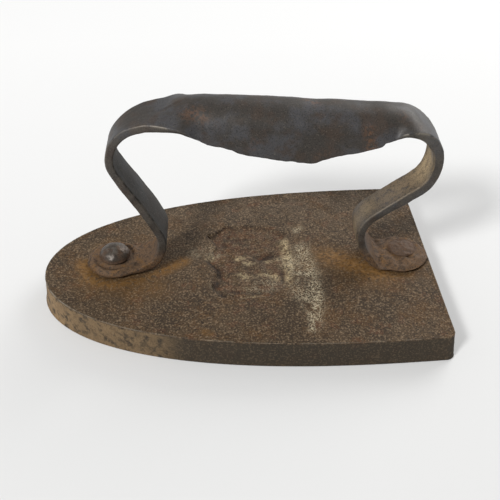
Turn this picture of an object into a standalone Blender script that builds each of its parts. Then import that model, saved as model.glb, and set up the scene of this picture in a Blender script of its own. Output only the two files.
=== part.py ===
# Antique flat iron: a cast-iron slab with a forged strap handle, held by two cast-in wrought studs.
# The nose points to -X and the heel to +X. The origin is on the ironing face, under the slab's middle.

import math

import bmesh
import bpy
from mathutils import Vector

MM = 0.001
GAP = 0.3 * MM

# Sole slab. Its half-width follows a superellipse from heel to nose, swollen a little towards the nose.
# The length is the top face's; the ironing face is longer by the draft, at the nose and at the heel.
SOLE_LENGTH = 165.0 * MM
HEEL_WIDTH = 102.0 * MM
SOLE_THICKNESS = 13.3 * MM
NOSE_POWER = 2.45
SIDE_POWER = 2.04
SIDE_SWELL = 0.10
HEEL_CORNER_RADIUS = 3.5 * MM
SOLE_EDGE_BEVEL = 0.7 * MM
SOLE_DRAFT = 1.2 * MM
SIDE_POINTS = 44
CORNER_POINTS = 6

# Moulded panel in the slab's top: a ticket shape with scooped corners round an oval boss.
PANEL_LENGTH = 33.0 * MM
PANEL_WIDTH = 49.0 * MM
PANEL_SCOOP = 6.0 * MM
PANEL_DEPTH = 1.1 * MM
PANEL_FROM_HEEL = 77.0 * MM
PANEL_SIDEWAYS = 2.0 * MM
SCOOP_POINTS = 8
BOSS_RADII = (7.0 * MM, 9.5 * MM)
BOSS_OFFSET = -7.5 * MM
BOSS_POINTS = 28

# Studs. The handle is set 2 degrees askew, about the rear stud.
REAR_STUD_FROM_HEEL = 13.0 * MM
STUD_SPACING = 122.3 * MM
HANDLE_SKEW = math.radians(2.0)
SHANK_RADIUS = 4.0 * MM
UPSET_RADIUS = 6.0 * MM
UPSET_HEIGHT = 3.0 * MM
SOCKET_DEPTH = 9.5 * MM
FRONT_HEAD = {"radius": 6.7 * MM, "height": 4.5 * MM}
REAR_HEAD = {"radius": 7.6 * MM, "height": 1.7 * MM}
# A head is a dome on a low rim, a little drawn in underneath; both are shares of its height and radius.
HEAD_RIM_SHARE = 0.15
HEAD_UNDERSIDE_SHARE = 0.94
DOME_STEPS = 7

# Handle strap.
STRAP_THICKNESS = 3.5 * MM
GRIP_THICKNESS = 2.0 * MM
GRIP_RADIUS = 10.5 * MM
FRONT_PAD_RADIUS = 11.2 * MM
REAR_PAD_RADIUS = 12.0 * MM
GRIP_FRONT = -84.0 * MM
GRIP_REAR = -10.0 * MM
GRIP_RUN_IN = 16.0 * MM
GRIP_HEIGHT = 77.0 * MM
STATION_SPACING = 3.2 * MM
STRAP_COLUMNS = 15

FOOT_Z = (SOLE_THICKNESS + GAP + STRAP_THICKNESS / 2) / MM
# Side profile of the strap's middle surface, from the front foot over the grip to the rear foot:
# millimetres from the rear stud, millimetres above the table, and half the strap's developed width.
FRONT_LEG = [
    (-133.9, FOOT_Z, 8.0), (-122.3, FOOT_Z, 11.0), (-111.5, FOOT_Z, 8.8), (-104.4, FOOT_Z + 3.6, 7.8),
    (-101.5, 28.5, 7.9), (-103.6, 36.4, 8.0), (-109.9, 49.0, 8.0), (-115.6, 59.0, 7.8),
    (-118.6, 67.0, 7.5), (-118.0, 75.0, 7.1), (-113.2, 80.9, 7.2), (-105.7, 83.6, 8.2),
]
GRIP = [
    (-97.0, 85.9, 9.9), (-90.5, 88.3, 13.8), (-83.0, 90.9, 17.6), (-76.0, 90.6, 19.6),
    (-67.0, 90.1, 22.6), (-52.0, 88.9, 24.0), (-41.0, 88.0, 24.9), (-37.0, 87.7, 23.0),
    (-31.0, 87.3, 21.0), (-19.6, 86.5, 17.8), (-12.3, 86.0, 14.8), (-5.0, 84.2, 11.4),
]
REAR_LEG = [
    (1.0, 80.4, 9.2), (6.0, 75.7, 8.4), (8.4, 69.5, 8.0), (8.3, 62.0, 7.8), (5.0, 55.0, 7.5),
    (-2.0, 48.9, 7.4), (-10.5, 42.7, 7.6), (-16.8, 36.6, 8.0), (-18.8, 29.8, 8.4),
    (-16.4, 21.6, 9.2), (-9.5, FOOT_Z, 10.5), (0.0, FOOT_Z, 11.0), (12.0, FOOT_Z, 11.0),
]

# Colours are linear; the numbers after them are roughness and metallic.
CAST_IRON = ("rusted_cast_iron", (0.085, 0.065, 0.048), 0.72, 0.55)
WROUGHT_IRON = ("forged_wrought_iron", (0.062, 0.052, 0.044), 0.5, 0.75)
STUD_IRON = ("hammered_rivet_iron", (0.075, 0.062, 0.052), 0.45, 0.8)

HEEL_X = SOLE_LENGTH / 2
REAR_STUD = Vector((HEEL_X - REAR_STUD_FROM_HEEL, 0.0, 0.0))
FRONT_STUD = REAR_STUD + STUD_SPACING * Vector((-math.cos(HANDLE_SKEW), math.sin(HANDLE_SKEW), 0.0))
FOOT_TOP = SOLE_THICKNESS + GAP + STRAP_THICKNESS
ROUND_STEPS = 32
# How far a cutter runs past the surface that it opens.
OVERRUN = 2.0 * MM


def clear_scene():
    for obj in list(bpy.data.objects):
        bpy.data.objects.remove(obj, do_unlink=True)


def make_collection(name):
    collection = bpy.data.collections.new(name)
    bpy.context.scene.collection.children.link(collection)
    return collection


def make_material(name, color, roughness, metallic):
    material = bpy.data.materials.new(name)
    material.use_nodes = True
    shader = material.node_tree.nodes["Principled BSDF"]
    shader.inputs["Base Color"].default_value = (*color, 1.0)
    shader.inputs["Roughness"].default_value = roughness
    shader.inputs["Metallic"].default_value = metallic
    return material


def mark_as_cutter(obj):
    obj.hide_render = True
    obj.display_type = "WIRE"


def cut(obj, cutter, name):
    boolean = obj.modifiers.new(name, "BOOLEAN")
    boolean.operation = "DIFFERENCE"
    boolean.solver = "EXACT"
    boolean.object = cutter


def flat_outline(name, points, thickness, collection):
    # A closed flat curve, filled and extruded, then made a welded mesh so that it can be cut or cut others.
    curve = bpy.data.curves.new(name + "_outline", "CURVE")
    curve.dimensions = "2D"
    curve.fill_mode = "BOTH"
    curve.extrude = thickness / 2
    spline = curve.splines.new("POLY")
    spline.points.add(len(points) - 1)
    for point, (x, y) in zip(spline.points, points):
        point.co = (x, y, 0.0, 1.0)
    spline.use_cyclic_u = True
    drawn = bpy.data.objects.new(name + "_outline", curve)
    collection.objects.link(drawn)
    graph = bpy.context.evaluated_depsgraph_get()
    mesh = bpy.data.meshes.new_from_object(drawn.evaluated_get(graph))
    mesh.name = name
    bpy.data.objects.remove(drawn, do_unlink=True)
    bm = bmesh.new()
    bm.from_mesh(mesh)
    bmesh.ops.remove_doubles(bm, verts=bm.verts, dist=1e-6)
    bmesh.ops.recalc_face_normals(bm, faces=bm.faces)
    bm.to_mesh(mesh)
    bm.free()
    obj = bpy.data.objects.new(name, mesh)
    collection.objects.link(obj)
    return obj


def turned(name, profile, collection):
    # profile runs from the top, down the outer side, to the bottom, as (radius, height) pairs.
    mesh = bpy.data.meshes.new(name)
    edges = [(i, i + 1) for i in range(len(profile) - 1)]
    mesh.from_pydata([(radius, 0.0, height) for radius, height in profile], edges, [])
    obj = bpy.data.objects.new(name, mesh)
    collection.objects.link(obj)
    screw = obj.modifiers.new("turn", "SCREW")
    screw.axis = "Z"
    screw.steps = ROUND_STEPS
    screw.render_steps = ROUND_STEPS
    screw.use_merge_vertices = True
    screw.merge_threshold = 1e-5
    screw.use_smooth_shade = False
    return obj


def sole_half_width(from_heel):
    reach = min(from_heel / SOLE_LENGTH, 1.0)
    curve = (1.0 - reach ** NOSE_POWER) ** (1.0 / SIDE_POWER)
    return HEEL_WIDTH / 2 * curve * (1.0 + SIDE_SWELL * reach)


def sole_outline():
    # Stations crowd towards the nose, where the outline turns fastest.
    side = []
    for i in range(SIDE_POINTS + 1):
        turn = math.pi / 2 * i / SIDE_POINTS
        from_heel = HEEL_CORNER_RADIUS + (SOLE_LENGTH - HEEL_CORNER_RADIUS) * math.sin(turn)
        side.append((HEEL_X - from_heel, sole_half_width(from_heel)))
    corner = []
    for i in range(CORNER_POINTS):
        turn = math.pi / 2 * i / CORNER_POINTS
        x = HEEL_X - HEEL_CORNER_RADIUS * (1.0 - math.cos(turn))
        y = sole_half_width(HEEL_CORNER_RADIUS) - HEEL_CORNER_RADIUS * (1.0 - math.sin(turn))
        corner.append((x, y))
    upper = corner + side
    lower = [(x, -y) for x, y in reversed(upper) if y > 1e-9]
    return upper + lower


def ticket_outline(length, width, scoop):
    points = []
    corners = [(1, 1, math.pi), (-1, 1, 1.5 * math.pi), (-1, -1, 0.0), (1, -1, 0.5 * math.pi)]
    for side_x, side_y, start in corners:
        for i in range(SCOOP_POINTS + 1):
            angle = start + math.pi / 2 * (1.0 - i / SCOOP_POINTS)
            x = side_x * length / 2 + scoop * math.cos(angle)
            y = side_y * width / 2 + scoop * math.sin(angle)
            points.append((x, y))
    return points


def ellipse(radius_x, radius_y, steps):
    turns = [2 * math.pi * i / steps for i in range(steps)]
    return [(radius_x * math.cos(turn), radius_y * math.sin(turn)) for turn in turns]


def build_panel_cutter(cutters):
    # The boss is left standing: the ticket-shaped cutter has an oval hole in it.
    thickness = 4 * PANEL_DEPTH
    boss = ellipse(*BOSS_RADII, BOSS_POINTS)
    ticket = ticket_outline(PANEL_LENGTH, PANEL_WIDTH, PANEL_SCOOP)
    boss_hole = flat_outline("panel_boss_cutter", boss, 3 * thickness, cutters)
    panel = flat_outline("panel_cutter", ticket, thickness, cutters)
    height = SOLE_THICKNESS - PANEL_DEPTH + thickness / 2
    middle = Vector((HEEL_X - PANEL_FROM_HEEL, PANEL_SIDEWAYS, height))
    panel.location = middle
    boss_hole.location = middle + Vector((0.0, BOSS_OFFSET, 0.0))
    cut(panel, boss_hole, "boss")
    mark_as_cutter(boss_hole)
    mark_as_cutter(panel)
    return panel


def build_socket_cutter(name, stud, cutters):
    neck = SHANK_RADIUS + GAP
    chamber = UPSET_RADIUS + GAP
    floor = SOLE_THICKNESS - SOCKET_DEPTH
    chamber_top = floor + UPSET_HEIGHT + 2 * GAP
    above = SOLE_THICKNESS + OVERRUN
    profile = [
        (0.0, above), (neck, above), (neck, chamber_top),
        (chamber, chamber_top), (chamber, floor), (0.0, floor),
    ]
    cutter = turned(name, profile, cutters)
    cutter.location = stud
    mark_as_cutter(cutter)
    return cutter


def build_hole_cutter(name, stud, cutters):
    radius = SHANK_RADIUS + GAP
    above = FOOT_TOP + OVERRUN
    profile = [(0.0, above), (radius, above), (radius, SOLE_THICKNESS), (0.0, SOLE_THICKNESS)]
    cutter = turned(name, profile, cutters)
    cutter.location = stud
    mark_as_cutter(cutter)
    return cutter


def build_sole(parts, cutters):
    sole = flat_outline("sole_slab", sole_outline(), SOLE_THICKNESS, parts)
    sole.location = (0.0, 0.0, SOLE_THICKNESS / 2)
    for vert in sole.data.vertices:
        if vert.co.z < 0.0:
            vert.co.x *= 1.0 + 2 * SOLE_DRAFT / SOLE_LENGTH
    bevel = sole.modifiers.new("edge", "BEVEL")
    bevel.width = SOLE_EDGE_BEVEL
    bevel.segments = 2
    bevel.limit_method = "ANGLE"
    bevel.angle_limit = math.radians(60)
    cut(sole, build_panel_cutter(cutters), "panel")
    cut(sole, build_socket_cutter("front_socket_cutter", FRONT_STUD, cutters), "front_socket")
    cut(sole, build_socket_cutter("rear_socket_cutter", REAR_STUD, cutters), "rear_socket")
    sole.data.materials.append(make_material(*CAST_IRON))


def catmull_rom(a, b, c, d, t):
    # The smooth curve through b and c, at t from 0 to 1, for each coordinate.
    return [
        0.5 * (2 * q + (r - p) * t + (2 * p - 5 * q + 4 * r - s) * t * t + (3 * q - p - 3 * r + s) * t ** 3)
        for p, q, r, s in zip(a, b, c, d)
    ]


def strap_stations():
    # Even stations along the profile, as (x, z, half-width) in metres.
    knots = FRONT_LEG + GRIP + REAR_LEG
    knots = [knots[0]] + knots + [knots[-1]]
    fine = []
    substeps = 24
    for a, b, c, d in zip(knots, knots[1:], knots[2:], knots[3:]):
        fine += [catmull_rom(a, b, c, d, i / substeps) for i in range(substeps)]
    fine.append(list(knots[-1]))
    # The smooth curve dips a little beside each bend, so it is held at the height of the feet.
    fine = [Vector((x, max(z, FOOT_Z), half_width)) * MM for x, z, half_width in fine]
    reached = [0.0]
    for before, after in zip(fine, fine[1:]):
        reached.append(reached[-1] + (after.xy - before.xy).length)
    count = round(reached[-1] / STATION_SPACING)
    stations = []
    index = 0
    for i in range(count + 1):
        wanted = reached[-1] * i / count
        while index < len(fine) - 2 and reached[index + 1] < wanted:
            index += 1
        share = (wanted - reached[index]) / (reached[index + 1] - reached[index])
        stations.append(fine[index].lerp(fine[index + 1], min(share, 1.0)))
    return stations


def smooth_step(value):
    value = max(0.0, min(1.0, value))
    return value * value * (3.0 - 2.0 * value)


def pad_half_width(along, centre, radius):
    inside = radius * radius - (along - centre) ** 2
    return math.sqrt(inside) if inside > 0.0 else 0.0


def shaped_half_width(x, z, half_width):
    # A round pad at each foot; its tip is hammered blunt, a third of the pad wide.
    if z > FOOT_Z * MM + 1 * MM:
        return half_width
    if x < -STUD_SPACING / 2:
        centre, radius, outward = -STUD_SPACING, FRONT_PAD_RADIUS, -1
    else:
        centre, radius, outward = 0.0, REAR_PAD_RADIUS, 1
    pad = max(pad_half_width(x, centre, radius), radius / 3)
    beyond = (x - centre) * outward > 0.0
    return pad if beyond else max(pad, half_width)


def grip_share(x, z):
    # 0 on the flat strap, 1 where it is folded into the grip.
    if z < GRIP_HEIGHT:
        return 0.0
    entering = smooth_step((x - GRIP_FRONT + GRIP_RUN_IN) / GRIP_RUN_IN)
    leaving = smooth_step((GRIP_REAR + GRIP_RUN_IN - x) / GRIP_RUN_IN)
    return entering * leaving


def folded(across, share):
    # Where a point of the flat strap goes once its sides are folded down: sideways and below the crown.
    if share < 0.01:
        return across, 0.0
    radius = GRIP_RADIUS / share
    quarter = radius * math.pi / 2
    side = math.copysign(1.0, across)
    reach = abs(across)
    if reach <= quarter:
        return side * radius * math.sin(reach / radius), radius * (1.0 - math.cos(reach / radius))
    return side * radius, radius + reach - quarter


def build_handle(parts, cutters):
    stations = strap_stations()
    rows = len(stations)
    bm = bmesh.new()
    bmesh.ops.create_grid(bm, x_segments=rows - 1, y_segments=STRAP_COLUMNS - 1, size=1.0)
    group_layer = bm.verts.layers.deform.verify()
    for vert in bm.verts:
        row = round((vert.co.x + 1.0) / 2.0 * (rows - 1))
        x, z, half_width = stations[row]
        before = stations[max(row - 1, 0)]
        after = stations[min(row + 1, rows - 1)]
        forward = (after.xy - before.xy).normalized()
        outward = Vector((-forward.y, forward.x))
        share = grip_share(x, z)
        sideways, drop = folded(vert.co.y * shaped_half_width(x, z, half_width), share)
        place = Vector((x, z)) - drop * outward
        vert[group_layer][0] = 1.0 - share
        vert.co = (place.x, sideways, place.y)
    mesh = bpy.data.meshes.new("handle_strap")
    bm.to_mesh(mesh)
    bm.free()
    handle = bpy.data.objects.new("handle_strap", mesh)
    handle.vertex_groups.new(name="full_thickness")
    parts.objects.link(handle)
    handle.location = REAR_STUD
    handle.rotation_euler = (0.0, 0.0, -HANDLE_SKEW)
    solid = handle.modifiers.new("wall", "SOLIDIFY")
    solid.thickness = STRAP_THICKNESS
    solid.offset = 0.0
    solid.use_even_offset = True
    solid.use_quality_normals = True
    solid.vertex_group = "full_thickness"
    solid.thickness_vertex_group = GRIP_THICKNESS / STRAP_THICKNESS
    cut(handle, build_hole_cutter("front_hole_cutter", FRONT_STUD, cutters), "front_hole")
    cut(handle, build_hole_cutter("rear_hole_cutter", REAR_STUD, cutters), "rear_hole")
    handle.data.materials.append(make_material(*WROUGHT_IRON))


def build_rivet(name, stud, head, parts, material):
    # A dome on a shank through the foot, with an upset foot locked in the slab.
    head_base = FOOT_TOP + GAP
    floor = SOLE_THICKNESS - SOCKET_DEPTH + GAP
    upset_top = floor + UPSET_HEIGHT
    radius = head["radius"]
    rim = HEAD_RIM_SHARE * head["height"]
    rise = head["height"] - rim
    dome = []
    for i in range(DOME_STEPS + 1):
        turn = math.pi / 2 * i / DOME_STEPS
        dome.append((radius * math.sin(turn), head_base + rim + rise * math.cos(turn)))
    profile = dome + [
        (HEAD_UNDERSIDE_SHARE * radius, head_base), (SHANK_RADIUS, head_base), (SHANK_RADIUS, upset_top),
        (UPSET_RADIUS, upset_top), (UPSET_RADIUS, floor), (0.0, floor),
    ]
    rivet = turned(name, profile, parts)
    rivet.location = stud
    rivet.data.materials.append(material)


def main():
    clear_scene()
    parts = make_collection("flat_iron")
    cutters = make_collection("cutters")
    build_sole(parts, cutters)
    build_handle(parts, cutters)
    stud_iron = make_material(*STUD_IRON)
    build_rivet("front_rivet", FRONT_STUD, FRONT_HEAD, parts, stud_iron)
    build_rivet("rear_rivet", REAR_STUD, REAR_HEAD, parts, stud_iron)


main()
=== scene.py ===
import math
import bmesh
import bpy
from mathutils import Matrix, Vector, noise


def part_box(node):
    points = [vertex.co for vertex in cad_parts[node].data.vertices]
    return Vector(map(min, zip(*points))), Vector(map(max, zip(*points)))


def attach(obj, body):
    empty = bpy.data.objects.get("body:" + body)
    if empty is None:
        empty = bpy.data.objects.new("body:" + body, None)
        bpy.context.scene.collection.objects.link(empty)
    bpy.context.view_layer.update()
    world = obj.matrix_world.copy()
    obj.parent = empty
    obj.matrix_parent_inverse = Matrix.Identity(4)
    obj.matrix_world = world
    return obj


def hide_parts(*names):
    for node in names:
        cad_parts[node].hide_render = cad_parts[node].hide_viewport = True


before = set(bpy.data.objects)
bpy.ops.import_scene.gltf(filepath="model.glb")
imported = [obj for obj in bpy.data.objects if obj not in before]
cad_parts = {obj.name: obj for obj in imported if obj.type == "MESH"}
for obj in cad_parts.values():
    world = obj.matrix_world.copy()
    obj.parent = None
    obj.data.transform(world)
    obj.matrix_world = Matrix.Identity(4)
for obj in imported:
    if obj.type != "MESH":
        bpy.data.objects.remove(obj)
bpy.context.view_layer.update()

mm = 0.001
rootBody = "root"

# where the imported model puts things
slabHigh = Vector(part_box("sole_slab")[1])
strapLow = Vector(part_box("handle_strap")[0])


def middleOf(node):
    low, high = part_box(node)
    return Vector(((low[0] + high[0]) / 2, (low[1] + high[1]) / 2, 0))


frontStud = middleOf("front_rivet")
rearStud = middleOf("rear_rivet")


def deselectAll():
    if bpy.context.object and bpy.context.object.mode != "OBJECT":
        bpy.ops.object.mode_set(mode="OBJECT")
    bpy.ops.object.select_all(action="DESELECT")


def makeActive(piece):
    deselectAll()
    piece.select_set(True)
    bpy.context.view_layer.objects.active = piece


def applyModifier(piece, modifier):
    makeActive(piece)
    bpy.ops.object.modifier_apply(modifier=modifier.name)


def smoothStep(value):
    value = max(0.0, min(1.0, value))
    return value * value * (3 - 2 * value)


def lumps(place, size):
    # slow noise from -1 to 1, size is the width of a lump
    return noise.noise(place / size)


def pourSurface(piece, name, scale, strength, middle=1.0, group=""):
    # one layer of cloudy relief, applied at once; middle 1 only cuts into the metal
    texture = bpy.data.textures.new(name, "CLOUDS")
    texture.noise_scale = scale
    texture.noise_depth = 2
    layer = piece.modifiers.new(name, "DISPLACE")
    layer.texture = texture
    layer.texture_coords = "LOCAL"
    layer.strength = strength
    layer.mid_level = middle
    layer.vertex_group = group
    applyModifier(piece, layer)


def setAttribute(piece, name, values):
    attribute = piece.data.attributes.new(name, "FLOAT", "POINT")
    attribute.data.foreach_set("value", values)


def strokesAt(strokes, spot):
    # how strongly painted strokes cover a spot
    # each stroke runs between two places in mm, with a reach in mm and a strength
    spot = spot / mm
    cover = 0.0
    for start, end, reach, strength in strokes:
        start, end = Vector(start), Vector(end)
        along = end - start
        share = (spot - start).dot(along) / max(along.length_squared, 1e-6)
        distance = (spot - start - along * max(0.0, min(1.0, share))).length
        cover = max(cover, strength * smoothStep(1 - distance / reach))
    return cover


def finishPiece(piece, nodes, material):
    # the CAD nodes give way to the piece, which is hung on the root body and takes its real finish
    makeActive(piece)
    bpy.ops.object.transform_apply(location=True, rotation=True, scale=True)
    bpy.ops.object.shade_smooth()
    piece.data.materials.clear()
    piece.data.materials.append(material)
    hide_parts(*nodes)
    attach(piece, rootBody)


# the camera looks down on the near side, from a little in front of the middle
cameraSetup = {
    "place": (-14.6 * mm, -280.9 * mm, 246.9 * mm),
    "target": (4.9 * mm, 0.0, 20.0 * mm),
    "lens": 61.15, "nearest": 0.01,
}


def makeCamera():
    camera = bpy.data.objects.new("camera", bpy.data.cameras.new("camera"))
    bpy.context.scene.collection.objects.link(camera)
    camera.location = cameraSetup["place"]
    aim = Vector(cameraSetup["target"]) - camera.location
    camera.rotation_euler = aim.to_track_quat("-Z", "Y").to_euler()
    camera.data.lens = cameraSetup["lens"]
    camera.data.clip_start = cameraSetup["nearest"]
    bpy.context.scene.camera = camera


makeCamera()
print("camera ready")


def toLinear(hexColour):
    channels = [int(hexColour[i:i + 2], 16) / 255 for i in (1, 3, 5)]
    return (*[c / 12.92 if c <= 0.04045 else ((c + 0.055) / 1.055) ** 2.4 for c in channels], 1.0)


def addNode(tree, kind, settings=None, links=None):
    # adds a node, sets its properties or sockets, and links sockets from other nodes
    node = tree.nodes.new(kind)
    for name, value in (settings or {}).items():
        if isinstance(name, int) or name in node.inputs:
            node.inputs[name].default_value = value
        else:
            setattr(node, name, value)
    for name, source in (links or {}).items():
        tree.links.new(source, node.inputs[name])
    return node


def newMaterial(name):
    material = bpy.data.materials.new(name)
    material.use_nodes = True
    tree = material.node_tree
    coords = addNode(tree, "ShaderNodeTexCoord").outputs["Object"]
    return material, tree, tree.nodes["Principled BSDF"], coords


def patchy(tree, coords, size, low, high, shift=0.0, detail=3.0):
    # a mask of patches about size wide: 0 where the noise is at low, 1 where it is at high
    # shift moves the pattern, in metres, so that no two masks share their patches
    place = (shift, shift * 0.7, shift * 1.3)
    moved = addNode(tree, "ShaderNodeMapping", {"Location": place}, {"Vector": coords})
    pattern = addNode(tree, "ShaderNodeTexNoise", {"Scale": 1 / size, "Detail": detail, "Roughness": 0.6},
                      {"Vector": moved.outputs[0]})
    limits = {"From Min": low, "From Max": high, "interpolation_type": "SMOOTHSTEP"}
    return addNode(tree, "ShaderNodeMapRange", limits, {"Value": pattern.outputs["Fac"]}).outputs[0]


def painted(tree, name):
    return addNode(tree, "ShaderNodeAttribute", {"attribute_name": name}).outputs["Fac"]


def layColours(tree, ground, layers):
    # coats laid one over another: a colour, how much it covers, and the masks it has to pass
    coat = addNode(tree, "ShaderNodeRGB").outputs[0]
    coat.default_value = toLinear(ground)
    for hexColour, cover, *masks in layers:
        amount = addNode(tree, "ShaderNodeValue").outputs[0]
        amount.default_value = cover
        for mask in masks:
            product = addNode(tree, "ShaderNodeMath", {"operation": "MULTIPLY"}, {0: amount, 1: mask})
            amount = product.outputs[0]
        mixing = {"data_type": "RGBA", 7: toLinear(hexColour)}
        coat = addNode(tree, "ShaderNodeMix", mixing, {0: amount, 6: coat}).outputs[2]
    return coat


def giveSurface(tree, shader, coat, metallic, roughness, rougher, rougherMask):
    # the roughness goes from the first value to the second where the mask is painted
    tree.links.new(coat, shader.inputs["Base Color"])
    shader.inputs["Metallic"].default_value = metallic
    spread = {"To Min": roughness, "To Max": rougher}
    tree.links.new(addNode(tree, "ShaderNodeMapRange", spread, {"Value": rougherMask}).outputs[0],
                   shader.inputs["Roughness"])


def addGrit(tree, shader, coords, size, distance, strength):
    # grit too small to model, felt only as a break-up of the light
    grit = addNode(tree, "ShaderNodeTexNoise", {"Scale": 1 / size, "Detail": 3.0}, {"Vector": coords})
    relief = addNode(tree, "ShaderNodeBump", {"Strength": strength, "Distance": distance},
                     {"Height": grit.outputs["Fac"]})
    tree.links.new(relief.outputs["Normal"], shader.inputs["Normal"])


# sand-cast grey iron, rusted and worn: a dry sandy speckle over brown, no clean reflection anywhere
castIron = {
    "ground": "#4f3f2d", "shade": "#34291d", "warm": "#583f24", "grey": "#5f5243", "speck": "#86725a",
    "pitAndShade": "#1f1914", "ochre": "#6f4e22", "redBrown": "#5d3d29", "lime": "#d2c5a6", "crustAndHighlight": "#b5a37f",
    "amber": "#8f6b40", "side": "#352f26", "tan": "#8d7454", "worn": "#8f8676",
    "sandGrain": 0.8 * mm, "dust": 0.55 * mm, "reflection": 0.28,
}


def makeCastIron():
    material, tree, shader, coords = newMaterial("rusted cast iron")
    c = castIron
    side, worn, recess = painted(tree, "side"), painted(tree, "wornEdge"), painted(tree, "recess")
    dark = patchy(tree, coords, c["sandGrain"], 0.52, 0.36, 0.0, 2.0)
    light = patchy(tree, coords, c["sandGrain"], 0.51, 0.65, 0.05, 2.0)
    dust = patchy(tree, coords, c["dust"], 0.47, 0.57, 0.9)
    sandy = addNode(tree, "ShaderNodeMapRange", {"To Min": 1.0, "To Max": 0.35}, {"Value": side}).outputs[0]
    coat = layColours(tree, c["ground"], [
        (c["shade"], 0.6, patchy(tree, coords, 20 * mm, 0.42, 0.62)),
        (c["warm"], 0.8, patchy(tree, coords, 13 * mm, 0.45, 0.66, 0.3)),
        # a greyer, lighter colour along the far side of the top
        (c["grey"], 0.65, painted(tree, "farGrey"), patchy(tree, coords, 9 * mm, 0.30, 0.60, 0.4)),
        (c["redBrown"], 0.5, patchy(tree, coords, 6 * mm, 0.58, 0.68, 0.5)),
        (c["redBrown"], 0.6, recess, patchy(tree, coords, 4 * mm, 0.40, 0.58, 2.0)),
        (c["side"], 0.85, side),
        # tan on the wall round the nose, partly painted light from the window lamp
        (c["tan"], 0.95, side, painted(tree, "tanLitWall"), patchy(tree, coords, 3 * mm, 0.30, 0.55, 1.4)),
        # lime crust, with a painted highlight on the lip of the panel's front edge
        (c["crustAndHighlight"], 0.95, painted(tree, "limeCrustAndHighlight"), patchy(tree, coords, 1.4 * mm, 0.40, 0.56, 1.1)),
        (c["pitAndShade"], 0.75, dark, sandy),
        (c["shade"], 0.5, patchy(tree, coords, 3 * mm, 0.44, 0.62, 1.9), sandy),
        (c["speck"], 0.6, light, sandy),
        (c["pitAndShade"], 0.8, patchy(tree, coords, 1.7 * mm, 0.34, 0.27, 0.21, 2.0), sandy),
        (c["ochre"], 0.85, painted(tree, "ochre"), patchy(tree, coords, 1.6 * mm, 0.26, 0.58, 0.7)),
        (c["amber"], 0.75, painted(tree, "amber"), patchy(tree, coords, 1.5 * mm, 0.38, 0.66, 3.1)),
        # painted shade in the panel's hollows and along its front edge
        (c["pitAndShade"], 0.8, painted(tree, "creviceShade"), patchy(tree, coords, 4 * mm, 0.3, 0.5, 0.9)),
        (c["lime"], 0.95, painted(tree, "limeDust"), dust, patchy(tree, coords, 5 * mm, 0.30, 0.58, 2.3)),
        (c["worn"], 0.8, worn, patchy(tree, coords, 5 * mm, 0.38, 0.6, 1.7)),
    ])
    giveSurface(tree, shader, coat, 0.05, 0.75, 0.5, worn)
    shader.inputs["Specular IOR Level"].default_value = c["reflection"]
    addGrit(tree, shader, coords, 0.35 * mm, 0.12 * mm, 0.5)
    return material


# wrought iron out of the forge, blackened by scale and polished by hands: satin, dark, browner in places
forgedIron = {
    "ground": "#38332e", "blue": "#47474a", "brown": "#41342a", "black": "#1e1a17", "speck": "#6b6459",
    "rustSpot": "#6a4a33", "khaki": "#87745a", "worn": "#c2b8a6", "edge": "#4c463f", "foot": "#6b5138",
    "ochre": "#76542b", "innerShade": "#15130f", "innerLight": "#bda680", "scaleGrain": 0.55 * mm,
}


def makeForgedIron():
    material, tree, shader, coords = newMaterial("hand-forged wrought iron")
    c = forgedIron
    foot, inner = painted(tree, "foot"), painted(tree, "innerFace")
    coat = layColours(tree, c["ground"], [
        (c["blue"], 0.75, patchy(tree, coords, 13 * mm, 0.44, 0.62)),
        (c["brown"], 0.7, patchy(tree, coords, 8 * mm, 0.48, 0.66, 0.4)),
        (c["edge"], 0.6, painted(tree, "edge"), patchy(tree, coords, 5 * mm, 0.36, 0.58, 0.2)),
        # painted shade on the front leg's inner face, where little light reaches
        (c["innerShade"], 0.8, painted(tree, "innerShade")),
        (c["khaki"], 0.9, inner, patchy(tree, coords, 2 * mm, 0.20, 0.56, 1.0)),
        # painted light on the inner face of the rear leg, where the window lamp falls
        (c["innerLight"], 0.8, painted(tree, "innerLight"), patchy(tree, coords, 3 * mm, 0.25, 0.55, 2.6)),
        (c["foot"], 0.85, foot),
        (c["ochre"], 0.6, foot, patchy(tree, coords, 4 * mm, 0.50, 0.64, 1.6)),
        (c["black"], 0.55, foot, patchy(tree, coords, 1.5 * mm, 0.50, 0.36, 0.9)),
        (c["rustSpot"], 0.7, painted(tree, "rust"), patchy(tree, coords, 1.5 * mm, 0.42, 0.60, 0.6)),
        (c["black"], 0.6, patchy(tree, coords, c["scaleGrain"], 0.50, 0.34, 0.1, 2.0)),
        (c["speck"], 0.45, patchy(tree, coords, c["scaleGrain"], 0.58, 0.72, 0.2, 2.0)),
        # rubbed edges, with a painted highlight on the near upper corner where the loops turn
        (c["worn"], 0.9, painted(tree, "wornEdge"), patchy(tree, coords, 4 * mm, 0.40, 0.52, 1.3)),
    ])
    giveSurface(tree, shader, coat, 0.3, 0.52, 0.75, painted(tree, "dull"))
    addGrit(tree, shader, coords, 0.5 * mm, 0.10 * mm, 0.45)
    return material


# peened wrought iron: hammer-bright on the crown, rust in the ring where it meets the foot
rivetIron = {
    "ground": "#463e36", "bright": "#655f57", "rust": "#5c432f", "black": "#241f1b", "grain": 0.6 * mm,
}


def makeRivetIron():
    material, tree, shader, coords = newMaterial("peened rivet iron")
    c = rivetIron
    base = painted(tree, "base")
    coat = layColours(tree, c["ground"], [
        (c["rust"], 0.6, patchy(tree, coords, 4 * mm, 0.42, 0.62)),
        (c["bright"], 0.6, painted(tree, "crown"), patchy(tree, coords, 2 * mm, 0.45, 0.62, 0.2)),
        (c["rust"], 0.7, base),
        (c["black"], 0.6, patchy(tree, coords, c["grain"], 0.50, 0.34, 0.4)),
    ])
    giveSurface(tree, shader, coat, 0.4, 0.42, 0.7, base)
    addGrit(tree, shader, coords, c["grain"], 0.12 * mm, 0.5)
    return material


print("materials ready")


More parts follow.
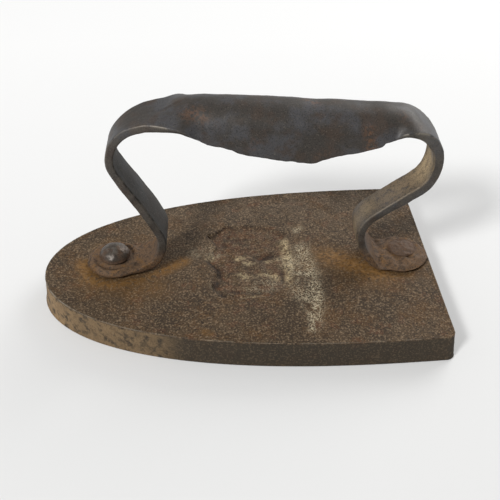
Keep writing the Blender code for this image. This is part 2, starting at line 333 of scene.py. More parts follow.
slab = {
    "draft": 1.2 * mm, "heelWidth": 102 * mm, "nosePower": 2.45, "sidePower": 2.04, "sideSwell": 0.10,
    "heelCorner": 3.5 * mm, "rim": 0.9 * mm, "shoulder": 0.68,
    "acrossCells": 176, "alongCells": 286, "sideRows": 20,
    # how the edges go round: steps outwards from the top's rim, with heights below the top or above the table
    "topEdge": [(0.45 * mm, 0.06 * mm), (0.75 * mm, 0.25 * mm), (0.9 * mm, 0.6 * mm)],
    "soleEdge": [(0.82 * mm, 0.75 * mm), (0.55 * mm, 0.3 * mm), (0.1 * mm, 0.05 * mm), (-0.6 * mm, 0.0)],
    "wallFoot": 1.3 * mm,
    # the worn ticket panel: bracket-shaped ends, an edge that wanders, and a raised boss and ridge inside
    "panelCentre": (5.5 * mm, 2 * mm), "panelHalf": (16.5 * mm, 24.5 * mm), "scoop": 6 * mm,
    "panelDepth": 1.6 * mm, "bracket": 1.5 * mm, "bracketSpacing": 17 * mm, "bracketMiddle": 2.5 * mm,
    "edgeWander": 1.5 * mm, "edgeNibble": 0.6 * mm, "sharpEdge": 0.9 * mm, "fadedEdge": 1.8 * mm,
    "bossRadii": (7 * mm, 9.5 * mm), "bossDrop": 7.5 * mm,
    "ridgeAt": 4.5 * mm, "ridgeSway": 2.5 * mm, "ridgeHalf": 1.8 * mm, "ridgeReach": 12 * mm,
    "hollowDepth": 0.8 * mm, "swell": 0.22 * mm,
    # sand-cast relief: name, size of a lump, how deep it cuts and the points that it works on
    "skins": [
        ("castSkin", 3.2 * mm, 0.28 * mm, "grain"), ("sandGrain", 1.1 * mm, 0.38 * mm, "grain"),
        ("wallWaves", 12 * mm, 0.5 * mm, "wall"),
    ],
    # the panel's broken front edge, and places inside it where the casting has sunk: each is cut in a little
    # and painted dark, and the dark is painted shade, deepest in the shadow of the front edge's wall
    "shadedHollows": [
        ((-3.5, 21), (-5.6, 15.5), 1.5, 0.5), ((-5.6, 15.5), (-6.9, 10.2), 1.8, 0.7),
        ((-12.9, 2.7), (-8.5, -3.5), 1.9, 1.0), ((-8.5, -3.5), (-8.2, -8.2), 1.7, 0.9),
        ((-8.2, -8.2), (-11.2, -14.9), 1.9, 1.0), ((-11.2, -14.9), (-7.2, -20.4), 1.8, 0.9),
        ((9, 4.2), (14.8, 5.6), 2.6, 1.0), ((18.3, -5), (18.4, -15), 1.6, 0.7),
        ((-4, -16.5), (8, -18.5), 1.6, 0.6), ((-2, 17), (4, 18), 1.6, 0.5),
    ],
    # rust that has bled out from under the feet
    "ochre": [
        ((-66, 4), (-62, -7), 6, 1.0), ((-62, -7), (-54, -11), 6, 1.0), ((-54, -11), (-44, -9), 5.5, 0.9),
        ((-44, -9), (-33, -3), 5, 0.75), ((-33, -3), (-24, 3), 5.5, 1.0), ((-62, -8), (-38, -12), 14, 0.5),
        ((-60, 15), (-53, 18), 6, 0.35), ((44, 2), (50, -4), 7, 0.9), ((50, -4), (60, -11), 6.5, 0.95),
        ((60, -12), (72, -13), 5, 0.5), ((38, 2), (58, -14), 15, 0.5), ((46, -3), (60, -9), 10, 1.0),
        ((77, -8), (80, -3), 3, 0.6), ((-16, -41), (-14, -42), 3, 0.7),
    ],
    # a paler amber laid over that rust, most of it round the rear foot
    "amber": [
        ((40, 2), (48, -3), 9, 0.8), ((48, -3), (58, -11), 7, 1.0), ((58, -11), (65, -14), 5, 0.6),
        ((-31, 1), (-25, 4), 4, 0.4), ((-67, 3), (-64, -6), 6, 0.6),
    ],
    # scale left by hard water: loose dust in a streak, and crust on the relief; two strokes of the crust lie
    # on the lip of the panel's front edge as a painted highlight
    "limeDust": [
        ((27, 21), (29, 23), 3, 0.6), ((28, 8), (30, -10), 6.5, 0.55), ((30, -10), (30, -25), 6, 0.75),
        ((30, -25), (27.5, -41), 5, 0.8), ((24, -18), (29, -30), 7, 0.45), ((22, 2), (28, -14), 7, 0.5),
        ((-18, 8), (-9, 9), 6, 0.3), ((4, -14), (16, -15), 6, 0.35),
    ],
    "limeCrustAndHighlight": [
        ((20.5, 15), (21.5, 6), 3.4, 0.9), ((21.5, 6), (21, -3), 4.2, 1.0), ((21, -3), (20, -14), 2.6, 0.9),
        ((0, 4.5), (2, 4), 2.8, 0.8), ((3, 0), (6, 0.5), 2.6, 0.7), ((12, 2), (17, 3), 2.2, 0.6),
        ((0, -7), (3, -9), 3.2, 0.9), ((11, -6), (15, -9), 3.6, 1.0), ((4, -9), (10, -7), 2, 0.5),
        # the last two strokes are a painted highlight on the lip of the panel's front edge
        ((0, -20), (9, -21), 1.5, 0.6), ((-13, 4), (-11, 6), 2.2, 0.8), ((-12, -14), (-10, -17), 2, 0.5),
    ],
    # the wall round the nose is painted tan, partly as painted light where the window lamp falls on it, the
    # rim there is rubbed bare, and the top is greyer and lighter along the far side
    "tanLitWall": [((-83, -6), (-74, -27), 16, 1.0), ((-74, -27), (-40, -47), 19, 0.75)],
    "wornRim": [
        ((-83, -8), (-70, -31), 14, 1.0), ((-70, -31), (-45, -44), 10, 0.8), ((-25, -50), (-10, -52), 8, 0.6),
    ],
    "farGrey": [((-20, 44), (80, 44), 38, 1.0)],
}
slabTop = slabHigh.z
heelX = slabHigh.x - slab["draft"]
slabLength = 2 * heelX


def slabHalfWidth(fromHeel):
    reach = min(fromHeel / slabLength, 1.0)
    curve = (1 - reach ** slab["nosePower"]) ** (1 / slab["sidePower"])
    return slab["heelWidth"] / 2 * curve * (1 + slab["sideSwell"] * reach)


def outlineAt(turn, inset):
    # the boat outline, moved inwards by inset: turn 0 is the far heel corner and turn pi the near one
    def raw(angle):
        fromHeel = slabLength * math.sin(angle)
        return Vector((heelX - fromHeel, math.copysign(slabHalfWidth(fromHeel), math.cos(angle))))
    step = 1e-3
    along = (raw(min(turn + step, math.pi)) - raw(max(turn - step, 0.0))).normalized()
    outward = Vector((along.y, -along.x))
    return raw(turn) - outward * inset, outward


def evenTurns(start, end, count):
    # turns spaced evenly by length along the outline
    fine = 600
    turns = [start + (end - start) * i / fine for i in range(fine + 1)]
    spots = [outlineAt(turn, 0)[0] for turn in turns]
    reached = [0.0]
    for before, after in zip(spots, spots[1:]):
        reached.append(reached[-1] + (after - before).length)
    result = []
    index = 0
    for i in range(count + 1):
        wanted = reached[-1] * i / count
        while index < fine - 1 and reached[index + 1] < wanted:
            index += 1
        share = (wanted - reached[index]) / max(reached[index + 1] - reached[index], 1e-12)
        result.append(turns[index] + (turns[index + 1] - turns[index]) * min(share, 1.0))
    return result


def panelReliefAt(x, y, px, py):
    # how much of the panel's depth stands up again: 0 on its floor, 1 flush with the top
    bossX, bossY = slab["bossRadii"]
    boss = math.hypot(px / bossX, (py + slab["bossDrop"]) / bossY)
    raised = smoothStep((1.12 - boss) / 0.24) * (1 - 0.45 * smoothStep((0.62 - boss) / 0.3))
    fromRidge = py - slab["ridgeAt"] - slab["ridgeSway"] * lumps(Vector((x, y, 9)), 9 * mm)
    alongRidge = smoothStep((slab["ridgeReach"] - abs(px)) / (4 * mm))
    raised = max(raised, 0.7 * smoothStep(1 - abs(fromRidge) / slab["ridgeHalf"]) * alongRidge)
    return raised * (0.8 + 0.4 * lumps(Vector((x, y, 1)), 6 * mm))


def panelDepthAt(x, y):
    # how deep the worn panel is here, and how much painted shade its hollows get: a ticket with scooped
    # corners
    px, py = x - slab["panelCentre"][0], y - slab["panelCentre"][1]
    halfX, halfY = slab["panelHalf"]
    wave = math.cos(2 * math.pi * (py - slab["bracketMiddle"]) / slab["bracketSpacing"])
    px -= slab["bracket"] * wave * math.copysign(1, px)
    insideX, insideY = halfX - abs(px), halfY - abs(py)
    edge = min(insideX, insideY, math.hypot(insideX, insideY) - slab["scoop"])
    wander = slab["edgeWander"] * lumps(Vector((x, y, 0)), 7 * mm)
    edge += wander + slab["edgeNibble"] * lumps(Vector((x, y, 2)), 2.2 * mm)
    hollowAndShade = strokesAt(slab["shadedHollows"], Vector((x, y)))
    if edge <= 0:
        return slab["hollowDepth"] * hollowAndShade, hollowAndShade
    # the edge is sharp at the front of the panel and worn away towards the heel
    faded = smoothStep((px + 11 * mm) / (14 * mm))
    inside = smoothStep(edge / (slab["sharpEdge"] + slab["fadedEdge"] * faded)) * (1 - 0.25 * faded)
    raised = panelReliefAt(x, y, px, py)
    rough = 0.35 * lumps(Vector((x, y, 5)), 2.6 * mm) + 0.3 * lumps(Vector((x, y, 6)), 6 * mm)
    depth = slab["panelDepth"] * inside * (1 - 0.75 * min(raised, 1.0) + rough)
    return depth + slab["hollowDepth"] * hollowAndShade, hollowAndShade


def shapeSlabTop(piece):
    # the square grid is stretched between the heel line, the two sides and the nose
    across, along = slab["acrossCells"], slab["alongCells"]
    rim = slab["rim"]
    first = math.asin(rim / slabLength)
    shoulder = math.asin(slab["shoulder"])
    farRim = [outlineAt(turn, rim) for turn in evenTurns(first, shoulder, along)]
    nearRim = [outlineAt(turn, rim) for turn in evenTurns(math.pi - first, math.pi - shoulder, along)]
    noseRim = [outlineAt(turn, rim) for turn in evenTurns(math.pi - shoulder, shoulder, across)]
    heelFar, heelNear = farRim[0][0], nearRim[0][0]
    noseFar, noseNear = farRim[-1][0], nearRim[-1][0]
    corner = slab["heelCorner"]
    cornerCentre = Vector((heelX - corner, slabHalfWidth(corner) - corner))

    mesh = bmesh.new()
    mesh.from_mesh(piece.data)
    rimPlace = mesh.verts.layers.float_vector.new("rimPlace")
    rimOut = mesh.verts.layers.float_vector.new("rimOut")
    for vert in mesh.verts:
        i = round((vert.co.x + 1) / 2 * along)
        j = round((vert.co.y + 1) / 2 * across)
        u, v = i / along, j / across
        heelPoint = heelNear.lerp(heelFar, v)
        spot = nearRim[i][0] * (1 - v) + farRim[i][0] * v + heelPoint * (1 - u) + noseRim[j][0] * u
        heelShare = heelNear * (1 - u) * (1 - v) + heelFar * (1 - u) * v
        spot -= heelShare + noseNear * u * (1 - v) + noseFar * u * v
        outward = Vector((1, 0))
        if i == along:
            outward = noseRim[j][1]
        elif j == across:
            outward = farRim[i][1]
        elif j == 0:
            outward = nearRim[i][1]
        fromCentre = Vector((spot.x - cornerCentre.x, abs(spot.y) - cornerCentre.y))
        if fromCentre.x > 0 and fromCentre.y > 0:
            rounded = fromCentre * max(fromCentre.normalized())
            spot = Vector((cornerCentre.x + rounded.x, math.copysign(cornerCentre.y + rounded.y, spot.y)))
            direction = fromCentre.normalized()
            outward = Vector((direction.x, math.copysign(direction.y, spot.y)))
        vert.co = (spot.x, spot.y, slabTop)
        vert[rimPlace] = (spot.x, spot.y, slabTop)
        vert[rimOut] = (outward.x, outward.y, 0)
    mesh.to_mesh(piece.data)
    mesh.free()


def drawDownSides(piece):
    # the rim goes round over the edge, down the wall and under, ring by ring, and the sole closes it
    rings = [(step, slabTop - below) for step, below in slab["topEdge"]]
    wallTop, wallFoot = rings[-1][1], slab["wallFoot"]
    for row in range(1, slab["sideRows"] + 1):
        rings.append((slab["rim"], wallTop + (wallFoot - wallTop) * row / slab["sideRows"]))
    rings += slab["soleEdge"]
    makeActive(piece)
    bpy.ops.object.mode_set(mode="EDIT")
    bpy.ops.mesh.select_mode(type="EDGE")
    bpy.ops.mesh.select_all(action="DESELECT")
    bpy.ops.mesh.select_non_manifold()
    for offset, height in rings:
        bpy.ops.mesh.extrude_edges_move()
        edit = bmesh.from_edit_mesh(piece.data)
        place = edit.verts.layers.float_vector["rimPlace"]
        out = edit.verts.layers.float_vector["rimOut"]
        for vert in edit.verts:
            if vert.select:
                spot = vert[place] + vert[out] * offset
                stretch = 1 + 2 * slab["draft"] / slabLength * (1 - height / slabTop)
                vert.co = (spot.x * stretch, spot.y, height)
    bpy.ops.mesh.edge_face_add()
    bpy.ops.mesh.select_all(action="SELECT")
    bpy.ops.mesh.normals_make_consistent(inside=False)
    bpy.ops.object.mode_set(mode="OBJECT")


def sinkAndPaintSlab(piece):
    # the panel is sunk into the top, and every point gets its share of each stain, of the painted shade and
    # light, and of each skin
    topStains = ("ochre", "amber", "limeDust", "limeCrustAndHighlight", "farGrey")
    paint = {name: [] for name in ("recess", "creviceShade", "side", "wornEdge", "tanLitWall") + topStains}
    grainShare, wallShare = [], []
    for vert in piece.data.vertices:
        x, y, z = vert.co
        spot = Vector((x, y))
        rimHeight = slabTop - z
        onTop = rimHeight < 0.03 * mm
        depth, creviceShade = panelDepthAt(x, y) if onTop else (0.0, 0.0)
        if onTop:
            swell = slab["swell"] * (lumps(Vector((x, y, 3)), 17 * mm) - 0.6)
            vert.co.z = z - depth + swell
        atRim = 0.0 if onTop else smoothStep(1 - abs(rimHeight - 0.2 * mm) / (0.35 * mm))
        paint["recess"].append(depth / slab["panelDepth"])
        paint["creviceShade"].append(creviceShade)
        paint["side"].append(smoothStep((rimHeight - 0.4 * mm) / (0.6 * mm)))
        paint["wornEdge"].append(atRim * (0.35 + 0.65 * strokesAt(slab["wornRim"], spot)))
        for name in topStains:
            paint[name].append(strokesAt(slab[name], spot) if onTop else 0.0)
        paint["tanLitWall"].append(0.0 if onTop else strokesAt(slab["tanLitWall"], spot))
        grainShare.append(1.0 if onTop else 0.35 if z > 1.0 * mm else 0.0)
        wallShare.append(1.0 if 1.0 * mm < z < slabTop - 0.4 * mm else 0.0)
    for name, values in paint.items():
        setAttribute(piece, name, values)
    for groupName, shares in (("grain", grainShare), ("wall", wallShare)):
        group = piece.vertex_groups.new(name=groupName)
        for share in sorted(set(shares)):
            group.add([i for i, s in enumerate(shares) if s == share], share, "REPLACE")


def makeSlab():
    deselectAll()
    bpy.ops.mesh.primitive_grid_add(x_subdivisions=slab["alongCells"], y_subdivisions=slab["acrossCells"],
                                    size=2, location=(0, 0, 0))
    piece = bpy.context.object
    piece.name = "cast_slab"
    shapeSlabTop(piece)
    drawDownSides(piece)
    sinkAndPaintSlab(piece)
    for name, scale, strength, group in slab["skins"]:
        pourSurface(piece, name, scale, strength, group=group)
    finishPiece(piece, ["sole_slab"], makeCastIron())
    print("slab ready:", len(piece.data.polygons), "faces")


# the middle of the feet, mm above the table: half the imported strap's 3.5 mm above its underside
footZ = strapLow.z / mm + 1.75
strap = {
    "thickness": 3.6 * mm, "rearThickness": 4.4 * mm, "gripThickness": 2.0 * mm, "edgeRound": 0.9 * mm,
    "frontPad": 11.6 * mm, "rearPad": 11.9 * mm, "rows": 430, "columns": 60,
    # the grip is folded from gripFront to gripRear, and the fold runs in over some way at either end
    "gripFront": -84 * mm, "gripRear": -10 * mm, "gripHeight": 77 * mm, "gripRadius": 10.5 * mm,
    "frontRunIn": 20 * mm, "rearRunIn": 16 * mm, "farDelay": 3.1 * mm, "nearDelay": -1.0 * mm,
    "raggedLong": 9 * mm, "raggedShort": 2.5 * mm, "notch": 0.8 * mm,
    # the middle of the strap from foot to foot: mm from the rear stud, mm above the table, half the width
    # and the lean to the far side
    "frontLeg": [
        (-133.9, footZ, 8.0, 0), (-122.3, footZ, 11.0, 0), (-111.5, footZ, 8.8, 0),
        (-104.0, footZ + 3.8, 8.1, 0.5), (-101.0, 28.3, 8.6, 0.8), (-103.5, 36.4, 8.7, 0.8),
        (-109.9, 49.0, 8.5, 0.5), (-115.6, 59.0, 7.9, 0), (-118.8, 67.0, 7.2, -0.8),
        (-117.4, 74.8, 6.7, -1.6), (-112.6, 81.0, 7.3, -1.6), (-105.5, 84.2, 9.2, -0.9),
    ],
    "grip": [
        (-97.0, 86.2, 10.8, -0.9), (-90.5, 89.2, 14.7, 0), (-83.0, 90.6, 18.5, 0.9), (-76.0, 90.5, 20.2, 0.6),
        (-67.0, 90.3, 23.2, 0.2), (-52.0, 89.4, 25.0, 0), (-41.0, 88.4, 25.9, 0), (-37.0, 88.2, 24.3, 0),
        (-31.0, 87.9, 22.4, 0), (-19.6, 87.0, 19.4, -0.1), (-12.3, 86.6, 16.6, -0.3), (-5.0, 85.0, 13.5, 0),
    ],
    "rearLeg": [
        (0.4, 81.0, 10.5, -0.9), (5.3, 75.3, 7.9, -1.4), (8.2, 69.6, 7.7, -1.2), (8.4, 61.8, 7.3, -1.1),
        (5.4, 54.6, 7.0, -1.0), (-1.8, 48.5, 6.8, -1.0), (-10.4, 42.3, 7.0, -0.9), (-16.8, 36.4, 7.6, -0.6),
        (-18.8, 29.8, 8.2, -0.2), (-16.4, 21.6, 9.1, 0), (-9.5, footZ, 10.5, 0), (0.0, footZ, 11.0, 0),
        (12.0, footZ, 11.0, 0),
    ],
    # how the feet are hammered out, in mm: dish round the rivet, lip beyond it, thinning towards the rim
    "feet": {
        "front": {
            "stud": -122.3, "dish": 1.2, "dishAt": 7.7, "lip": 0.5, "lipAt": 9.7, "thin": 1.5, "rough": 0.4,
        },
        "rear": {
            "stud": 0.0, "dish": 0.3, "dishAt": 8.0, "lip": 0.5, "lipAt": 10.0, "thin": 2.0, "rough": 1.0,
        },
    },
    "dishWidth": 1.4, "lipWidth": 0.9, "thinFrom": 7.5, "thinOver": 4.5, "blow": 3.2 * mm,
    # hammered relief: name, size of a lump, how deep it goes and how much of it cuts in
    "skins": [("hammerMarks", 12 * mm, 0.4 * mm, 0.6), ("forgeScale", 1.6 * mm, 0.14 * mm, 0.8)],
    # stains, rubbed places, painted shade and painted light on the finished strap, as strokes in mm
    "rust": [
        ((49, -9, 82), (50, -11, 76), 4, 1.0), ((62, -4, 84), (63, -6, 82), 4, 0.9),
        ((27, 3, 89), (30, 1, 89), 3.5, 0.8), ((-18, -3, 89), (-14, -4, 88), 6, 0.7),
        ((5, -10, 76), (6, -10, 80), 3, 0.4), ((30, -11, 72), (33, -11, 74), 4, 0.3),
        ((56, -7, 80), (57, -8, 78), 2.5, 0.6),
    ],
    # the near upper edge is rubbed bright only where the loops turn, and the paint there is also a painted
    # highlight on that corner
    "bright": [
        ((-43, -12, 84), (-29, -12, 86), 7, 1.0), ((-50, -12, 76), (-43, -12, 83), 6, 0.5),
        ((62, -12, 82), (70, -12, 78), 6, 0.8),
    ],
    # painted shade on the front leg's inner face
    "innerShade": [((-36, 0, 26), (-46, 0, 72), 22, 1.0)],
    "khaki": [((66, 0, 42), (78, 0, 62), 18, 1.0), ((52, 0, 28), (60, 0, 38), 15, 0.9)],
    # painted light on the rear leg's inner face
    "innerLight": [((76, 0, 60), (78, 0, 74), 11, 1.0), ((51, 0, 27), (56, 0, 36), 9, 0.45)],
}
strapTurn = math.atan2(rearStud.y - frontStud.y, rearStud.x - frontStud.x)


def between(p, q, r, s, t):
    # a smooth curve from q to r, which takes its direction from p and s
    slope, bend = (r - p) * t, (2 * p - 5 * q + 4 * r - s) * t * t
    return 0.5 * (2 * q + slope + bend + (3 * q - p - 3 * r + s) * t ** 3)


def strapStations(count):
    # a smooth path through the places above, cut into even steps
    fineSteps = 40
    knots = strap["frontLeg"] + strap["grip"] + strap["rearLeg"]
    knots = [knots[0]] + knots + [knots[-1]]
    fine = []
    for a, b, c, d in zip(knots, knots[1:], knots[2:], knots[3:]):
        for i in range(fineSteps):
            spot = [between(p, q, r, s, i / fineSteps) for p, q, r, s in zip(a, b, c, d)]
            fine.append(Vector((spot[0], max(spot[1], footZ), spot[2], spot[3])) * mm)
    fine.append(Vector(knots[-1]) * mm)
    reached = [0.0]
    for before, after in zip(fine, fine[1:]):
        reached.append(reached[-1] + (after.xy - before.xy).length)
    stations, index = [], 0
    for i in range(count + 1):
        wanted = reached[-1] * i / count
        while index < len(fine) - 2 and reached[index + 1] < wanted:
            index += 1
        share = (wanted - reached[index]) / (reached[index + 1] - reached[index])
        stations.append(fine[index].lerp(fine[index + 1], min(share, 1.0)))
    return stations


def strapHalfWidth(x, z, halfWidth):
    # the feet are hammered out into round pads
    if z > footZ * mm + 1 * mm:
        return halfWidth
    front = strap["feet"]["front"]["stud"] * mm
    centre, radius, outward = (front, strap["frontPad"], -1) if x < front / 2 else (0.0, strap["rearPad"], 1)
    inside = radius * radius - (x - centre) ** 2
    pad = max(math.sqrt(inside) if inside > 0 else 0.0, radius / 3)
    return pad if (x - centre) * outward > 0 else max(pad, halfWidth)


def gripShare(x, z, delay):
    # how far the strap is folded here: 0 flat, 1 a full gutter
    if z < strap["gripHeight"]:
        return 0.0
    entering = 1 + (x - strap["gripFront"] - delay) / strap["frontRunIn"]
    leaving = 1 + (strap["gripRear"] - x) / strap["rearRunIn"]
    return smoothStep(entering) * smoothStep(leaving)


def foldDown(across, share):
    # where a place across the flat strap goes when its sides are bent down round the grip's radius
    if share < 0.01:
        return across, 0.0
    radius = strap["gripRadius"] / share
    quarter = radius * math.pi / 2
    side, reach = math.copysign(1, across), abs(across)
    if reach <= quarter:
        return side * radius * math.sin(reach / radius), radius * (1 - math.cos(reach / radius))
    return side * radius, radius + reach - quarter


def hammerFoot(look, x, y):
    # how far the top of a foot is beaten down, at x, y from its stud
    reach = math.hypot(x, y) / mm
    thin = look["thin"] * smoothStep((reach - strap["thinFrom"]) / strap["thinOver"])
    dish = look["dish"] * math.exp(-((reach - look["dishAt"]) / strap["dishWidth"]) ** 2)
    lip = look["lip"] * math.exp(-((reach - look["lipAt"]) / strap["lipWidth"]) ** 2)
    rough = look["rough"] * (lumps(Vector((x, y, look["stud"])), strap["blow"]) + 0.5)
    return (thin + dish - lip + rough) * mm


def raggedWidth(x, z, halfWidth, far, share):
    # the edges wander, most of all along the grip, and the near one has a notch where the grip ends
    apart = 0.05 if far else -0.05
    ragged = lumps(Vector((x, apart, z)), strap["raggedLong"])
    ragged += 0.35 * lumps(Vector((x, 3 * apart, z)), strap["raggedShort"])
    halfWidth += (0.3 + 0.35 * share) * mm * ragged
    if not far and z > strap["gripHeight"]:
        notchFront = smoothStep((x + 13.5 * mm) / mm)
        halfWidth -= strap["notch"] * notchFront * smoothStep((-2 * mm - x) / (9 * mm))
    return halfWidth


def halfThickness(x, z, share, fromEdge):
    # half the strap's thickness here: heavier at the rear, thin in the grip, rounded at its edges
    rearward = smoothStep((x + 14 * mm) / (12 * mm)) * smoothStep((z - 18 * mm) / (8 * mm))
    flat = strap["thickness"] * (1 - rearward) + strap["rearThickness"] * rearward
    thickness = flat * (1 - share) + strap["gripThickness"] * share
    rounding = min(strap["edgeRound"], 0.35 * thickness)
    half = thickness / 2
    if fromEdge < rounding:
        half += math.sqrt(rounding ** 2 - (rounding - fromEdge) ** 2) - rounding
    return half


def bendStrap(piece):
    # a flat grid is laid along the stations, folded down where the grip is, and given its thickness
    rows = strap["rows"]
    stations = strapStations(rows)
    wall = piece.vertex_groups.new(name="wall")
    corner, edge = [], []
    for vert in piece.data.vertices:
        row = round((vert.co.x + 1) / 2 * rows)
        x, z, halfWidth, lean = stations[row]
        ahead, behind = stations[min(row + 1, rows)], stations[max(row - 1, 0)]
        forward = (ahead.xy - behind.xy).normalized()
        outward = Vector((-forward.y, forward.x))
        far = vert.co.y > 0
        share = gripShare(x, z, strap["farDelay"] if far else strap["nearDelay"])
        halfWidth = raggedWidth(x, z, strapHalfWidth(x, z, halfWidth), far, share)
        # the columns stand closer together towards the edges
        across = halfWidth * (0.25 * vert.co.y + 0.75 * math.sin(vert.co.y * math.pi / 2))
        sideways, drop = foldDown(across, share)
        vert.co = (x - drop * outward.x, sideways + lean, z - drop * outward.y)
        fromEdge = halfWidth - abs(across)
        wall.add([vert.index], 2 * halfThickness(x, z, share, fromEdge) / strap["rearThickness"], "REPLACE")
        corner.append(smoothStep(1 - abs(fromEdge - 0.35 * mm) / (0.45 * mm)) * (1 - share))
        edge.append(smoothStep(1 - fromEdge / (0.5 * mm)))
    setAttribute(piece, "corner", corner)
    setAttribute(piece, "edge", edge)
    solid = piece.modifiers.new("wall", "SOLIDIFY")
    solid.thickness = strap["rearThickness"]
    solid.offset = 0
    solid.use_quality_normals = True
    solid.vertex_group = "wall"
    applyModifier(piece, solid)


def hammerFeet(piece):
    # only the upper faces of the feet are beaten down, up to the neck where the leg rises
    middle = footZ * mm
    for vert in piece.data.vertices:
        if middle + 0.3 * mm < vert.co.z < middle + 4 * mm:
            for look in strap["feet"].values():
                x = vert.co.x - look["stud"] * mm
                inward = x if look["stud"] < 0 else -x
                if abs(x) < 16 * mm:
                    neck = smoothStep((14 * mm - inward) / (6 * mm))
                    vert.co.z = max(vert.co.z - neck * hammerFoot(look, x, vert.co.y), middle - 0.8 * mm)


def paintStrap(piece):
    # rubbed, rusty and dull places, and painted shade and light on the legs' inner faces, read off the
    # finished shape
    heart = Vector((10 * mm, 0, 50 * mm))
    corners = [entry.value for entry in piece.data.attributes["corner"].data]
    paint = {name: [] for name in ("wornEdge", "innerFace", "innerLight", "innerShade", "rust", "foot", "dull")}
    for vert, atCorner in zip(piece.data.vertices, corners):
        spot = vert.co.copy()
        towards = Vector((heart.x - spot.x, 0, heart.z - spot.z)).normalized()
        facingIn = smoothStep((vert.normal.dot(towards) - 0.15) / 0.3)
        inner = facingIn * strokesAt(strap["khaki"], spot)
        innerShade = facingIn * strokesAt(strap["innerShade"], spot)
        foot = smoothStep((27 * mm - spot.z) / (8 * mm))
        paint["wornEdge"].append(atCorner * (0.12 + 0.88 * strokesAt(strap["bright"], spot)) * (1 - foot))
        paint["innerFace"].append(inner)
        paint["innerLight"].append(facingIn * strokesAt(strap["innerLight"], spot))
        paint["innerShade"].append(innerShade)
        paint["rust"].append(strokesAt(strap["rust"], spot))
        paint["foot"].append(foot)
        paint["dull"].append(max(foot, inner, innerShade))
    for name, values in paint.items():
        setAttribute(piece, name, values)


def makeStrap():
    deselectAll()
    bpy.ops.mesh.primitive_grid_add(x_subdivisions=strap["rows"], y_subdivisions=strap["columns"],
                                    size=2, location=(0, 0, 0))
    piece = bpy.context.object
    piece.name = "forged_strap"
    bendStrap(piece)
    hammerFeet(piece)
    piece.rotation_euler.z = strapTurn
    piece.location = rearStud
    makeActive(piece)
    bpy.ops.object.transform_apply(location=True, rotation=True, scale=True)
    for name, scale, strength, middle in strap["skins"]:
        pourSurface(piece, name, scale, strength, middle=middle)
    paintStrap(piece)
    finishPiece(piece, ["handle_strap"], makeForgedIron())
    print("strap ready:", len(piece.data.polygons), "faces")


# shift is how far a head was driven off its stud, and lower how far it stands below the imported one, in mm
rivets = {
    "front": {
        "node": "front_rivet", "shift": (0, 0), "lower": 0,
        "radius": 6.7 * mm, "height": 4.5 * mm, "dent": 0.8 * mm, "polish": 1.0,
    },
    "rear": {
        "node": "rear_rivet", "shift": (1.2, 1.0), "lower": 0.7,
        "radius": 6.0 * mm, "height": 1.4 * mm, "dent": 1.3 * mm, "polish": 0.1,
    },
    "shank": 4.0 * mm, "upset": 6.0 * mm, "upsetHeight": 3.0 * mm, "undercut": 0.4 * mm,
    "segments": 72, "rings": 48, "dentSize": 3.4 * mm, "grainSize": 0.9 * mm, "grainDepth": 0.2 * mm,
}


def shapeRivet(look, low, centre):
    # half a ball is flattened into the head; its open rim is closed in to the shank, drawn down and spread
    aside, back = look["shift"][0] * mm, look["shift"][1] * mm
    undercut, upsetHeight = rivets["undercut"], rivets["upsetHeight"]
    bpy.ops.object.mode_set(mode="EDIT")
    bpy.ops.mesh.select_all(action="SELECT")
    bpy.ops.mesh.bisect(plane_co=centre, plane_no=(0, 0, 1), use_fill=False, clear_inner=True)
    bpy.ops.mesh.select_all(action="SELECT")
    bpy.ops.transform.resize(value=(1, 1, look["height"] / look["radius"]), center_override=centre)
    bpy.ops.transform.translate(value=(aside, back, 0))
    bpy.ops.mesh.select_all(action="DESELECT")
    bpy.ops.mesh.select_mode(type="EDGE")
    bpy.ops.mesh.select_non_manifold()
    bpy.ops.mesh.extrude_edges_move()
    bpy.ops.transform.translate(value=(-aside, -back, -undercut))
    shankShare = rivets["shank"] / look["radius"]
    bpy.ops.transform.resize(value=(shankShare, shankShare, 1), center_override=centre)
    bpy.ops.mesh.extrude_edges_move()
    bpy.ops.transform.translate(value=(0, 0, low.z + upsetHeight - centre[2] + undercut))
    bpy.ops.mesh.extrude_edges_move()
    upsetShare = rivets["upset"] / rivets["shank"]
    bpy.ops.transform.resize(value=(upsetShare, upsetShare, 1), center_override=centre)
    bpy.ops.mesh.extrude_edges_move()
    bpy.ops.transform.translate(value=(0, 0, -upsetHeight))
    bpy.ops.mesh.edge_face_add()
    bpy.ops.mesh.select_all(action="SELECT")
    bpy.ops.mesh.normals_make_consistent(inside=False)
    bpy.ops.object.mode_set(mode="OBJECT")


def makeRivet(name, material):
    look = rivets[name]
    low, high = [Vector(corner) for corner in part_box(look["node"])]
    stud = middleOf(look["node"])
    headBase = high.z - look["height"] - look["lower"] * mm
    centre = (stud.x, stud.y, headBase)
    deselectAll()
    bpy.ops.mesh.primitive_uv_sphere_add(segments=rivets["segments"], ring_count=rivets["rings"],
                                         radius=look["radius"], location=centre)
    piece = bpy.context.object
    piece.name = name + "_peened_rivet"
    makeActive(piece)
    bpy.ops.object.transform_apply(location=True, rotation=True, scale=True)
    shapeRivet(look, low, centre)
    head = piece.vertex_groups.new(name="head")
    head.add([v.index for v in piece.data.vertices if v.co.z > headBase + 0.2 * mm], 1.0, "REPLACE")
    pourSurface(piece, name + "HammerDents", rivets["dentSize"], look["dent"], middle=0.8, group="head")
    pourSurface(piece, name + "Grain", rivets["grainSize"], rivets["grainDepth"], middle=0.9, group="head")
    heights = [(vert.co.z - headBase) / look["height"] for vert in piece.data.vertices]
    polish = look["polish"]
    setAttribute(piece, "crown", [polish * smoothStep((height - 0.3) / 0.6) for height in heights])
    setAttribute(piece, "base", [max(1 - polish, smoothStep((0.4 - height) / 0.4)) for height in heights])
    finishPiece(piece, [look["node"]], material)
    print(name, "rivet ready:", len(piece.data.polygons), "faces")


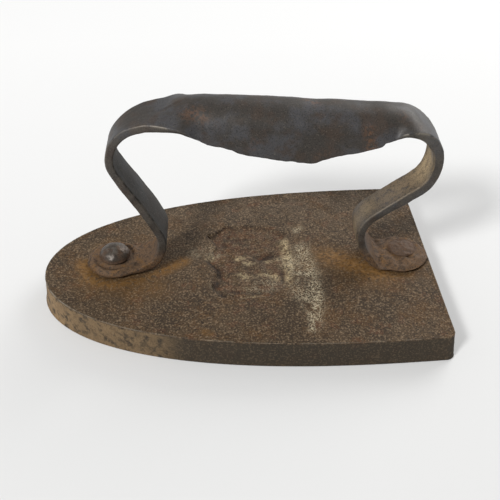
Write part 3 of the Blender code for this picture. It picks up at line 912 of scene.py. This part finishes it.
makeSlab()
makeStrap()
rivetMetal = makeRivetIron()
for rivetName in ("front", "rear"):
    makeRivet(rivetName, rivetMetal)


studio = {
    "floor": "#bebebd", "floorSize": 30, "floorDrop": 0.05 * mm, "floorRoughness": 0.9,
    # the paper glows from the first strength to the second, between these two places in y
    "floorGlow": (0.19, 0.34), "glowFrom": -0.15, "glowTo": 0.25,
    "skyFront": 0.16, "skyBack": 0.68,
    "lamps": {
        "window": {"place": (-1.19, -1.30, 1.63), "size": 0.40, "power": 47.0},
        "backFill": {"place": (0.90, 0.85, 0.80), "size": 0.9, "power": 12.0},
    },
}


def makeFloor():
    # white paper that glows as painted light, more behind the object than in front
    deselectAll()
    bpy.ops.mesh.primitive_plane_add(size=studio["floorSize"], location=(0, 0, -studio["floorDrop"]))
    floor = bpy.context.object
    floor.name = "floor"
    material, tree, shader, coords = newMaterial("glowing white paper")
    shader.inputs["Base Color"].default_value = toLinear(studio["floor"])
    shader.inputs["Roughness"].default_value = studio["floorRoughness"]
    shader.inputs["Emission Color"].default_value = (1, 1, 1, 1)
    farther = addNode(tree, "ShaderNodeSeparateXYZ", None, {0: coords}).outputs["Y"]
    rise = {
        "From Min": studio["glowFrom"], "From Max": studio["glowTo"],
        "To Min": studio["floorGlow"][0], "To Max": studio["floorGlow"][1],
    }
    glow = addNode(tree, "ShaderNodeMapRange", rise, {"Value": farther})
    tree.links.new(glow.outputs[0], shader.inputs["Emission Strength"])
    floor.data.materials.append(material)


def makeLamps():
    for name, look in studio["lamps"].items():
        lamp = bpy.data.lights.new(name, "AREA")
        lamp.shape = "SQUARE"
        lamp.size = look["size"]
        lamp.energy = look["power"]
        holder = bpy.data.objects.new(name, lamp)
        bpy.context.scene.collection.objects.link(holder)
        holder.location = look["place"]
        holder.rotation_euler = (-holder.location).to_track_quat("-Z", "Y").to_euler()


def makeRoom():
    # a pale room, darker in front of the object
    room = bpy.data.worlds.new("paleRoom")
    bpy.context.scene.world = room
    room.use_nodes = True
    tree = room.node_tree
    background = tree.nodes["Background"]
    background.inputs["Color"].default_value = (1, 1, 1, 1)
    incoming = addNode(tree, "ShaderNodeNewGeometry").outputs["Incoming"]
    parts = addNode(tree, "ShaderNodeSeparateXYZ", None, {0: incoming})
    ends = {"From Min": 1.0, "From Max": -1.0, "To Min": studio["skyFront"], "To Max": studio["skyBack"]}
    glow = addNode(tree, "ShaderNodeMapRange", ends, {"Value": parts.outputs["Y"]})
    tree.links.new(glow.outputs[0], background.inputs["Strength"])
    bpy.context.scene.view_settings.view_transform = "Standard"


makeFloor()
makeLamps()
makeRoom()
print("studio ready")
